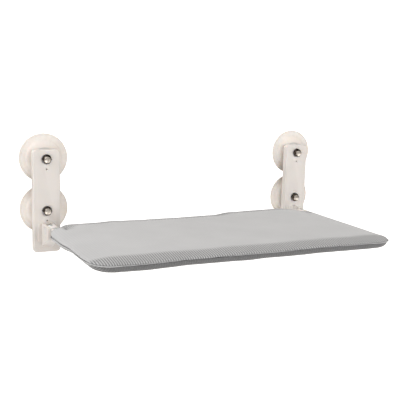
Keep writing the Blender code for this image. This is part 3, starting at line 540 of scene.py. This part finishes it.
# Folds beside the left arm: height in mm, then place and spread in x and in y
NOSE = ((1.0, -0.227, 0.012, -0.076, 0.016), (1.7, -0.220, 0.009, -0.068, 0.010),
        (-1.1, -0.243, 0.009, -0.066, 0.011))


def arc(x, y, radius, start, end, steps):
    return [(x + radius * math.cos(math.radians(start + (end - start) * i / steps)),
             y + radius * math.sin(math.radians(start + (end - start) * i / steps)))
            for i in range(steps + 1)]


def between(a, b, steps):
    """Points strictly between two points."""
    return [(a[0] + (b[0] - a[0]) * i / steps, a[1] + (b[1] - a[1]) * i / steps)
            for i in range(1, steps)]


def plan(inset):
    """Plan of the cover, drawn in by inset, anticlockwise from the middle of the front edge."""
    wide, narrow, rear = HALF_WIDTH - inset, REAR_HALF - inset, REAR_Y - inset
    step, front = NOTCH_Y - inset, FRONT_Y + inset
    front_r, rear_r = max(FRONT_R - inset, MM), max(REAR_R - inset, MM)
    outer_r, inner_r = max(SHOULDER_R - inset, MM), INNER_R + inset
    parts = [arc(wide - front_r, front + front_r, front_r, -90, 0, 20),
             arc(wide - outer_r, step - outer_r, outer_r, 0, 90, 7),
             arc(narrow + inner_r, step + inner_r, inner_r, 270, 180, 5),
             arc(narrow - rear_r, rear - rear_r, rear_r, 0, 90, 12)]
    steps = [70, 4, 2, 82]
    half = [(0.0, front)] + between((0.0, front), parts[0][0], 84)
    for part, after, count in zip(parts, parts[1:] + [[(0.0, rear)]], steps):
        half += part + between(part[-1], after[0], count)
    half.append((0.0, rear))
    return half + [(-x, y) for x, y in reversed(half[1:-1])]


def bell(value, middle, spread):
    return math.exp(-((value - middle) / spread) ** 2)


def ease(value, low, high):
    t = min(max((value - low) / (high - low), 0.0), 1.0)
    return t * t * (3 - 2 * t)


def relaxed(point, low):
    """The slack of the real cover: a fuller left side, a raised rear edge, shallow waves."""
    x, y, z = point
    share = min(max((z - BOTTOM_LOW.z) / (TOP_HIGH.z - BOTTOM_LOW.z), 0.0), 1.0)
    # the lower half hangs down behind on the left
    side = ease(-x, 0.185, 0.232)
    sag = side * ease(-y, 0.062, 0.084) * (1 - ease(-y, 0.125, 0.205))
    x -= LOW_BULGE * sag * (1 - share)
    z -= LOW_SAG * sag * (1 - share) ** 0.7
    # the left roll stays full while its seam runs low
    twist = ease(-x, 0.200, 0.232) * (1 - ease(-y, 0.235, 0.300))
    seam_share = (SEAM_Z - BOTTOM_LOW.z) / (TOP_HIGH.z - BOTTOM_LOW.z)
    above = max(share - seam_share, 0.0) / (1 - seam_share)
    full = math.sin(math.pi * above) ** 0.8 if above > 0.0 else 0.0
    x -= ROLL_BULGE * twist * full * ease(-y, 0.064, 0.100)
    drop = SEAM_DROP + SEAM_DROP_REAR * (1 - ease(-y, 0.120, 0.190))
    z += twist * (ROLL_LIFT * full - drop * min(share / seam_share, 1 - above))
    # the rear edge rises on the right and ripples on the left
    crest = ease(x, 0.050, 0.082) * (1 - ease(x, 0.178, 0.226)) * ease(y, -0.125, -0.060)
    ripple = bell(x, -0.139, 0.022) * ease(y, -0.11, -0.06)
    nose = sum(height * math.exp(-((x - at_x) / wide) ** 2 - ((y - at_y) / deep) ** 2)
               for height, at_x, wide, at_y, deep in NOSE)
    if low:
        z += CREST_LOW * crest
    else:
        z += CREST * crest + RIPPLE * ripple + MM * nose * share
    # shallow waves, none of them above the zip
    wave = noise.noise(Vector((x * 16, y * 9, 3.0 if low else 0.0)))
    small = noise.noise(Vector((x * 42, y * 30, 7.0 if low else 5.0)))
    inside = 1.0 - ease(y, -0.095, -0.078) if low else 1.0
    z += (WAVE * wave + SMALL_WAVE * small) * inside
    front = ease(-y, 0.285, 0.305)
    y -= front * FRONT_WAVE * noise.noise(Vector((x * 22, 1.0, 2.0 if low else 4.0)))
    if low:
        z += REAR_LIFT * (1 - ease(y, -0.10, -0.08))
        z -= front * FRONT_SAG * (bell(x, -0.165, 0.03) + bell(x, 0.17, 0.06)
                                  + 0.8 * bell(x, -0.02, 0.03))
    return Vector((x, y, z))


def panel_profile(width, height, direction):
    """(inset, z, way round the fabric) from the flat of a panel down to the seam."""
    rows, steps = [], 12
    for i in range(steps + 1):
        t = math.pi / 2 * (1 - i / steps)
        rows.append((width * (1 - math.cos(t)),
                     SEAM_Z + direction * (LIP + (height - LIP) * math.sin(t))))
    rows += [(0.06 * TUCK, SEAM_Z + direction * 1.25 * MM),
             (0.30 * TUCK, SEAM_Z + direction * 0.90 * MM),
             (TUCK, SEAM_Z + direction * 0.45 * MM)]
    way, result = 0.0, []
    for i, (inset, z) in enumerate(rows):
        if i:
            way += math.hypot(inset - rows[i - 1][0], z - rows[i - 1][1])
        result.append((inset, z, way))
    return result


def filled(ring):
    """Triangles that fill a ring, with a grid of points inside it; the ring's points come first."""
    count = len(ring)
    xs, ys = [p[0] for p in ring], [p[1] for p in ring]
    loop = np.array(ring)
    points = [Vector(p) for p in ring]
    for i in range(int((max(xs) - min(xs)) / GRID) + 1):
        for j in range(int((max(ys) - min(ys)) / GRID) + 1):
            shift = 0.5 * (j % 2)
            p = (min(xs) + (i + shift) * GRID, min(ys) + j * GRID)
            if np.min(np.hypot(loop[:, 0] - p[0], loop[:, 1] - p[1])) > 0.75 * GRID:
                points.append(Vector(p))
    edges = [(k, (k + 1) % count) for k in range(count)]
    verts, _, faces, origins, _, _ = delaunay_2d_cdt(points, edges, [], 1, 1e-7)
    order = sorted(range(len(verts)), key=lambda k: origins[k][0])
    place = {k: n for n, k in enumerate(order)}
    return [verts[k] for k in order], [[place[k] for k in face] for face in faces]


def sewn_x(x):
    """The knit is drawn a little wider towards the right."""
    return x * (1.0 - 0.27 * x)


def cover_parts(height_of):
    """Vertices, faces and flat coordinates of the whole cover, open only at its seam groove."""
    verts, flats, faces, rims = [], [], [], []
    for low, direction, width, height in ((False, 1, TOP_ROLL, TOP_HIGH.z - SEAM_Z),
                                          (True, -1, BOTTOM_ROLL, SEAM_Z - BOTTOM_LOW.z)):
        rows = panel_profile(width, height, direction)
        rim = plan(rows[0][0])
        points, triangles = filled(rim)
        start = len(verts)
        for p in points:
            verts.append(height_of(Vector((p[0], p[1], rows[0][1])), low))
            flats.append((sewn_x(p[0]), p[1], BOTTOM_STRAIN_AND_SHADE if low else 0.0))
        faces += [[start + k for k in face] for face in triangles]
        before = list(range(start, start + len(rim)))
        for row_number, (inset, z, way) in enumerate(rows[1:]):
            ring = plan(inset)
            first = len(verts)
            share = way / rows[-1][2]
            # painted shade: the third flat number rises to full over the underside roll, and a
            # little over the top roll
            if low:
                stretch_and_shade = BOTTOM_STRAIN_AND_SHADE + (1 - BOTTOM_STRAIN_AND_SHADE) * ease(share, 0.0, 0.5)
            else:
                stretch_and_shade = TOP_STRAIN_AND_SHADE * share ** TOP_STRAIN_AND_SHADE_POWER
            groove = row_number >= len(rows) - 3
            for k, p in enumerate(ring):
                after = ring[(k + 1) % len(ring)]
                last = ring[k - 1]
                normal = Vector((after[1] - last[1], last[0] - after[0])).normalized()
                extra = way - (rows[0][0] - inset)
                verts.append(height_of(Vector((p[0], p[1], z)), low))
                # painted shade: full in the seam groove, and on the rolls only where they face
                # front or back
                strain_and_shade = 1.0 if groove else stretch_and_shade * abs(normal.y)
                flats.append((sewn_x(p[0] + normal.x * extra), p[1] + normal.y * extra, strain_and_shade))
            here = list(range(first, first + len(ring)))
            for k in range(len(ring)):
                n = (k + 1) % len(ring)
                faces.append([before[k], before[n], here[n], here[k]])
            before = here
        rims.append(before)
    for k in range(len(rims[0])):
        n = (k + 1) % len(rims[0])
        faces.append([rims[0][k], rims[0][n], rims[1][n], rims[1][k]])
    return verts, faces, flats


def simulated():
    """A slightly slimmer pad, blown up a little as cloth; returns its surface."""
    voxel, pressure, frames, furthest = 5 * MM, 4.0, 20, 5 * MM
    bm = bmesh.new()
    rows = [(6 * MM, TOP_HIGH.z - HOLLOW), (2 * MM, TOP_HIGH.z - 3.4 * MM), (1.5 * MM, SEAM_Z),
            (2.5 * MM, SEAM_Z - 7 * MM), (5 * MM, BOTTOM_LOW.z + HOLLOW)]
    loops = [[bm.verts.new((x, y, z)) for x, y in plan(inset)[::2]] for inset, z in rows]
    for a, b in zip(loops, loops[1:]):
        for k in range(len(a)):
            n = (k + 1) % len(a)
            bm.faces.new((a[k], a[n], b[n], b[k]))
    bm.faces.new(loops[0])
    bm.faces.new(loops[-1])
    bmesh.ops.triangulate(bm, faces=[f for f in bm.faces if len(f.verts) > 4])
    mesh = finished("pad_start", bm)
    pad = bpy.data.objects.new("pad_start", mesh)
    bpy.context.scene.collection.objects.link(pad)
    remesh = pad.modifiers.new("remesh", "REMESH")
    remesh.mode = "VOXEL"
    remesh.voxel_size = voxel
    graph = bpy.context.evaluated_depsgraph_get()
    pad.data = bpy.data.meshes.new_from_object(pad.evaluated_get(graph))
    pad.modifiers.clear()
    rest = [v.co.copy() for v in pad.data.vertices]
    cloth = pad.modifiers.new("cloth", "CLOTH").settings
    cloth.use_pressure = True
    cloth.uniform_pressure_force = pressure
    cloth.effector_weights.gravity = 0.0
    cloth.quality = 4
    cloth.tension_stiffness = 20.0
    cloth.bending_stiffness = 1.5
    scene = bpy.context.scene
    scene.frame_start, scene.frame_end = 1, frames
    for number in range(1, frames + 1):
        scene.frame_set(number)
    graph = bpy.context.evaluated_depsgraph_get()
    blown = [v.co.copy() for v in pad.evaluated_get(graph).data.vertices]
    scene.frame_set(1)
    pad.modifiers.clear()
    for vert, old, new in zip(pad.data.vertices, rest, blown):
        move = new - old
        vert.co = old + move * min(1.0, furthest / max(move.length, 1e-9))
    tree = BVHTree.FromPolygons([v.co for v in pad.data.vertices],
                                [p.vertices[:] for p in pad.data.polygons])
    bpy.data.objects.remove(pad)
    return tree


def make_cover(looks):
    """The sewn cover over its foam, with the swell of the simulation and its own slack."""
    tree = simulated()
    start_top, start_bottom = TOP_HIGH.z - HOLLOW, BOTTOM_LOW.z + HOLLOW
    top_share, bottom_share = 0.45, 0.22
    stand_off, reach = 0.05, 0.2

    def height_of(p, low):
        direction = 1.0 if low else -1.0
        origin = Vector((p.x, p.y, p.z - direction * stand_off))
        hit = tree.ray_cast(origin, Vector((0.0, 0.0, direction)), reach)[0]
        inside = min(HALF_WIDTH - abs(p.x), p.y - FRONT_Y, REAR_Y - p.y)
        swell = 0.0
        if hit is not None:
            gap = (start_bottom - hit.z) if low else (hit.z - start_top)
            swell = max(0.0, gap) * ease(inside, 6 * MM, 45 * MM)
        if low:
            p.z -= bottom_share * swell * (1 - ease(p.y, -0.110, -0.085))
        else:
            p.z += top_share * swell
        return relaxed(p, low)

    verts, faces, flats = cover_parts(height_of)
    mesh = mesh_from("perch_cover", verts, faces)
    bm = bmesh.new()
    bm.from_mesh(mesh)
    bmesh.ops.recalc_face_normals(bm, faces=bm.faces)
    bm.to_mesh(mesh)
    bm.free()
    mesh.shade_smooth()
    attribute = mesh.attributes.new("flat", "FLOAT_VECTOR", "POINT")
    attribute.data.foreach_set("vector", np.array(flats, np.float32).ravel())
    cover = piece("perch_cover", mesh, looks["fabric"], "perch",
                  ("cover_top", "cover_bottom", "foam_pad"))


def seam_reach(x, y):
    """How far the seam allowance stands past the edge: more at the front corners and the left."""
    corner = bell(abs(x), 0.232, 0.035) * ease(-y, 0.24, 0.30)
    left = ease(-x, 0.22, 0.24) * ease(-y, 0.10, 0.14)
    flutter = 0.00025 * noise.noise(Vector((x * 60, y * 60, 0.0)))
    return -0.0011 + 0.0032 * max(corner, 0.7 * left) + flutter


def make_seam(looks):
    """The folded seam allowance that runs round the cover in its groove."""
    inner, path = plan(TUCK + 0.8 * MM), plan(0.0)
    count, thick, level = len(path), 0.42 * MM, SEAM_Z + 0.0001
    bm = bmesh.new()
    loops = [[] for _ in range(6)]
    for (ax, ay), (bx, by) in zip(inner, path):
        out = Vector((bx - ax, by - ay)).normalized()
        tip = Vector((bx, by)) + out * seam_reach(bx, by)
        back = (tip.x - out.x * thick, tip.y - out.y * thick)
        section = ((ax, ay, level + thick), (*back, level + thick),
                   (tip.x, tip.y, level + 0.4 * thick), (tip.x, tip.y, level - 0.4 * thick),
                   (*back, level - thick), (ax, ay, level - thick))
        for loop, (px, py, z) in zip(loops, section):
            loop.append(bm.verts.new(relaxed(Vector((px, py, z)), False)))
    for a, b in zip(loops, loops[1:] + loops[:1]):
        for k in range(count):
            n = (k + 1) % count
            bm.faces.new((a[k], a[n], b[n], b[k]))
    piece("seam_allowance", finished("seam_allowance", bm, 60.0), looks["binding"], "perch")


def sweep(name, path, section):
    """Sweep a closed (across, up) section along a path of points; the path is level."""
    bm = bmesh.new()
    rings = []
    for i, point in enumerate(path):
        along = (path[min(i + 1, len(path) - 1)] - path[max(i - 1, 0)]).normalized()
        across = Vector((along.y, -along.x, 0.0)).normalized()
        rings.append([bm.verts.new(point + across * a + Vector((0.0, 0.0, b))) for a, b in section])
    for low, high in zip(rings, rings[1:]):
        for k in range(len(section)):
            n = (k + 1) % len(section)
            bm.faces.new((low[k], low[n], high[n], high[k]))
    bm.faces.new(rings[0])
    bm.faces.new(rings[-1])
    return finished(name, bm, 60.0)


def boxes(name, items, bevel):
    """Small bevelled blocks, each given by its middle, its size and a turn about Z."""
    bm = bmesh.new()
    for middle, size, turn in items:
        made = bmesh.ops.create_cube(bm, size=1.0)["verts"]
        placed = Matrix.Translation(middle) @ Matrix.Rotation(turn, 4, "Z")
        bmesh.ops.transform(bm, matrix=placed @ Matrix.Diagonal((*size, 1.0)), verts=made)
    bmesh.ops.bevel(bm, geom=list(bm.edges), offset=bevel, segments=2, affect="EDGES")
    return finished(name, bm, 40.0)


def make_zip(looks):
    """The zip under the rear edge: woven tapes, their stitches, interlocked teeth, end stops."""
    low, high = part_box("zip")
    middle_y, face = (low.y + high.y) / 2, high.z
    half, thick = 7.0 * MM, 0.6 * MM
    stitch_pitch, tooth_pitch = 3.2 * MM, 2.4 * MM
    steps = 170
    xs = [low.x + (high.x - low.x) * i / steps for i in range(steps + 1)]
    for side, label in ((-1, "rear"), (1, "front")):
        inner, outer = 0.5 * MM, half - 0.4 * MM
        section = [(side * inner, 0.0), (side * outer, 0.0), (side * outer, -0.45 * MM),
                   (side * (outer - 1.2 * MM), -thick), (side * (inner + 1.9 * MM), -thick),
                   (side * inner, -thick)]
        waver = [0.00012 * noise.noise(Vector((x * 50, side, 0.0))) for x in xs]
        path = [Vector((x, middle_y + off, face)) for x, off in zip(xs, waver)]
        piece(f"zip_tape_{label}", sweep(f"zip_tape_{label}", path, section), looks["tape"],
              "perch", ("zip",) if side < 0 else ())
        stitch = []
        for i in range(int((high.x - low.x) / stitch_pitch)):
            x = low.x + 2.0 * MM + i * stitch_pitch
            stitch.append(((x, middle_y + side * 4.6 * MM, face - thick - 0.08 * MM),
                           (2.3 * MM, 0.42 * MM, 0.30 * MM), 0.05 * side))
        piece(f"zip_stitches_{label}", boxes(f"zip_stitches_{label}", stitch, 0.1 * MM),
              looks["thread"], "perch")
    teeth = []
    for i in range(int((high.x - low.x - 8 * MM) / tooth_pitch)):
        x = low.x + 4 * MM + i * tooth_pitch
        side = -1 if i % 2 else 1
        teeth.append(((x, middle_y + side * 0.75 * MM, face - thick - 0.33 * MM),
                      (1.35 * MM, 3.2 * MM, 0.85 * MM), 0.0))
    for x in (low.x + 1.6 * MM, high.x - 1.6 * MM):
        teeth.append(((x, middle_y, face - thick - 0.3 * MM), (1.6 * MM, 5.0 * MM, 0.9 * MM), 0.0))
    piece("zip_teeth", boxes("zip_teeth", teeth, 0.16 * MM), looks["teeth"], "perch")


def make_hems(looks):
    """A turned hem round each hinge arm, where it goes into the cover."""
    count, sides, square = 56, 10, 3.2
    for sign, side in SIDES:
        centre = Vector((sign * 235.5 * MM, NOTCH_Y - 0.6 * MM, -66.2 * MM))
        bm = bmesh.new()
        rings = []
        for k in range(count):
            turn = 2 * math.pi * k / count
            c, s = math.cos(turn), math.sin(turn)
            wide = (abs(c) ** square + abs(s) ** square) ** (-1 / square)
            crumple = 0.00022 * noise.noise(Vector((c * 3, s * 3, sign * 5.0)))
            ring = []
            for j in range(sides):
                a = 2 * math.pi * j / sides
                radius = (4.95 * MM + crumple + 0.55 * MM * math.cos(a)) * wide
                off = Vector((radius * c, 0.9 * MM * math.sin(a), radius * s))
                ring.append(bm.verts.new(centre + off))
            rings.append(ring)
        for k in range(count):
            a, b = rings[k], rings[(k + 1) % count]
            for j in range(sides):
                n = (j + 1) % sides
                bm.faces.new((a[j], a[n], b[n], b[j]))
        piece(f"entry_hem_{side}", finished(f"entry_hem_{side}", bm, 60.0), looks["binding"],
              "perch")


def make_slider(looks):
    """The zip's slider: a thick and a thin plate, a bridge and a flat pull."""
    low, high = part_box("zip_slider")
    x, y = low.x + 5.0 * MM, (low.y + high.y) / 2
    bm = bmesh.new()
    outline = [(-5.0, -2.4), (-3.4, -4.0), (1.2, -4.1), (4.6, -2.9), (5.0, 0.0)]
    outline = outline + [(a, -b) for a, b in reversed(outline[:-1])]
    for bottom, top in ((low.z + 0.2 * MM, low.z + 1.1 * MM),
                        (low.z + 1.3 * MM, low.z + 1.5 * MM)):
        loops = [[bm.verts.new((x + a * MM * scale, y + b * MM * scale, z)) for a, b in outline]
                 for z, scale in ((bottom, 0.94), (bottom + 0.15 * MM, 1.0), (top, 1.0))]
        for first, second in zip(loops, loops[1:]):
            for k in range(len(outline)):
                n = (k + 1) % len(outline)
                bm.faces.new((first[k], first[n], second[n], second[k]))
        bm.faces.new(loops[0])
        bm.faces.new(loops[-1])
    piece("slider_body", finished("slider_body", bm, 35.0), looks["zinc"], "slider",
          ("zip_slider",))
    z = low.z + 0.15 * MM
    parts = [((x - 2.6 * MM, y, z), (0.9 * MM, 2.2 * MM, 0.9 * MM), 0.0),
             ((x + 2.6 * MM, y, z), (0.9 * MM, 2.2 * MM, 0.9 * MM), 0.0),
             ((x, y, z - 0.35 * MM), (6.0 * MM, 2.2 * MM, 0.5 * MM), 0.0)]
    length = high.x - low.x - 5.0 * MM
    parts.append(((x + 0.5 * length + 0.8 * MM, y, z + 0.1 * MM),
                  (length - 3.2 * MM, 3.6 * MM, 0.8 * MM), 0.0))
    piece("slider_pull", boxes("slider_pull", parts, 0.22 * MM), looks["zinc"], "slider")


# ---------------------------------------------------------------- main
RIB_PITCH = 3.9 * MM
EYELET_PITCH = 3.0 * MM

LOOKS = {
    "plate": moulded("plate_plastic", (0.725, 0.685, 0.65), 0.40, 0.12, worn=0.5),
    "arm": moulded("arm_plastic", (0.82, 0.78, 0.745), 0.38, 0.12, worn=0.4),
    "cup": cup_material(),
    "pin": moulded("pin_lacquer", (0.70, 0.685, 0.67), 0.35),
    "grey": moulded("disc_plastic", (0.60, 0.58, 0.56), 0.50),
    "chrome": nut_material(),
    "zinc": metal("zinc_plate", (0.62, 0.64, 0.68), 0.30),
    "coated": metal("coated_tube", (0.70, 0.70, 0.70), 0.38, spin=True),
    "foam": moulded("foam_cells", (0.78, 0.77, 0.74), 0.95, grain=0.0004),
    "fabric": fabric_material("spacer_mesh", (0.55, 0.553, 0.556), 0.27),
    "binding": moulded("seam_binding", (0.53, 0.533, 0.536), 0.85, grain=0.0003),
    "tape": moulded("zip_tape_weave", (0.36, 0.365, 0.37), 0.80, grain=0.0002),
    "thread": moulded("sewing_thread", (0.52, 0.525, 0.53), 0.70, grain=0.0001),
    "teeth": moulded("zip_teeth_resin", (0.44, 0.445, 0.45), 0.42),
}

NODE_LOOKS = {"suction_cup": "cup", "bracket_plate": "plate", "hinge_arm": "arm",
              "cup_stud": "zinc", "washer": "zinc", "backing_disc": "grey",
              "cap_nut": "chrome", "hinge_pin": "pin",
              "retaining_ring": "zinc", "lock_screw": "zinc", "tube_screw": "zinc",
              "front_tube": "coated", "rear_tube": "coated", "side_tube": "coated",
              "joint_sleeve": "zinc", "foam_pad": "foam", "cover_": "fabric", "zip": "tape",
              "zip_slider": "zinc"}


def dress_nodes():
    """Give each carried-over CAD node its material."""
    for name, obj in NODES.items():
        for prefix, look in NODE_LOOKS.items():
            if name.startswith(prefix):
                obj.data.materials.clear()
                obj.data.materials.append(LOOKS[look])


make_camera()
make_studio()
dress_nodes()
make_fasteners(LOOKS)
make_cover(LOOKS)
make_seam(LOOKS)
make_zip(LOOKS)
make_hems(LOOKS)
make_slider(LOOKS)
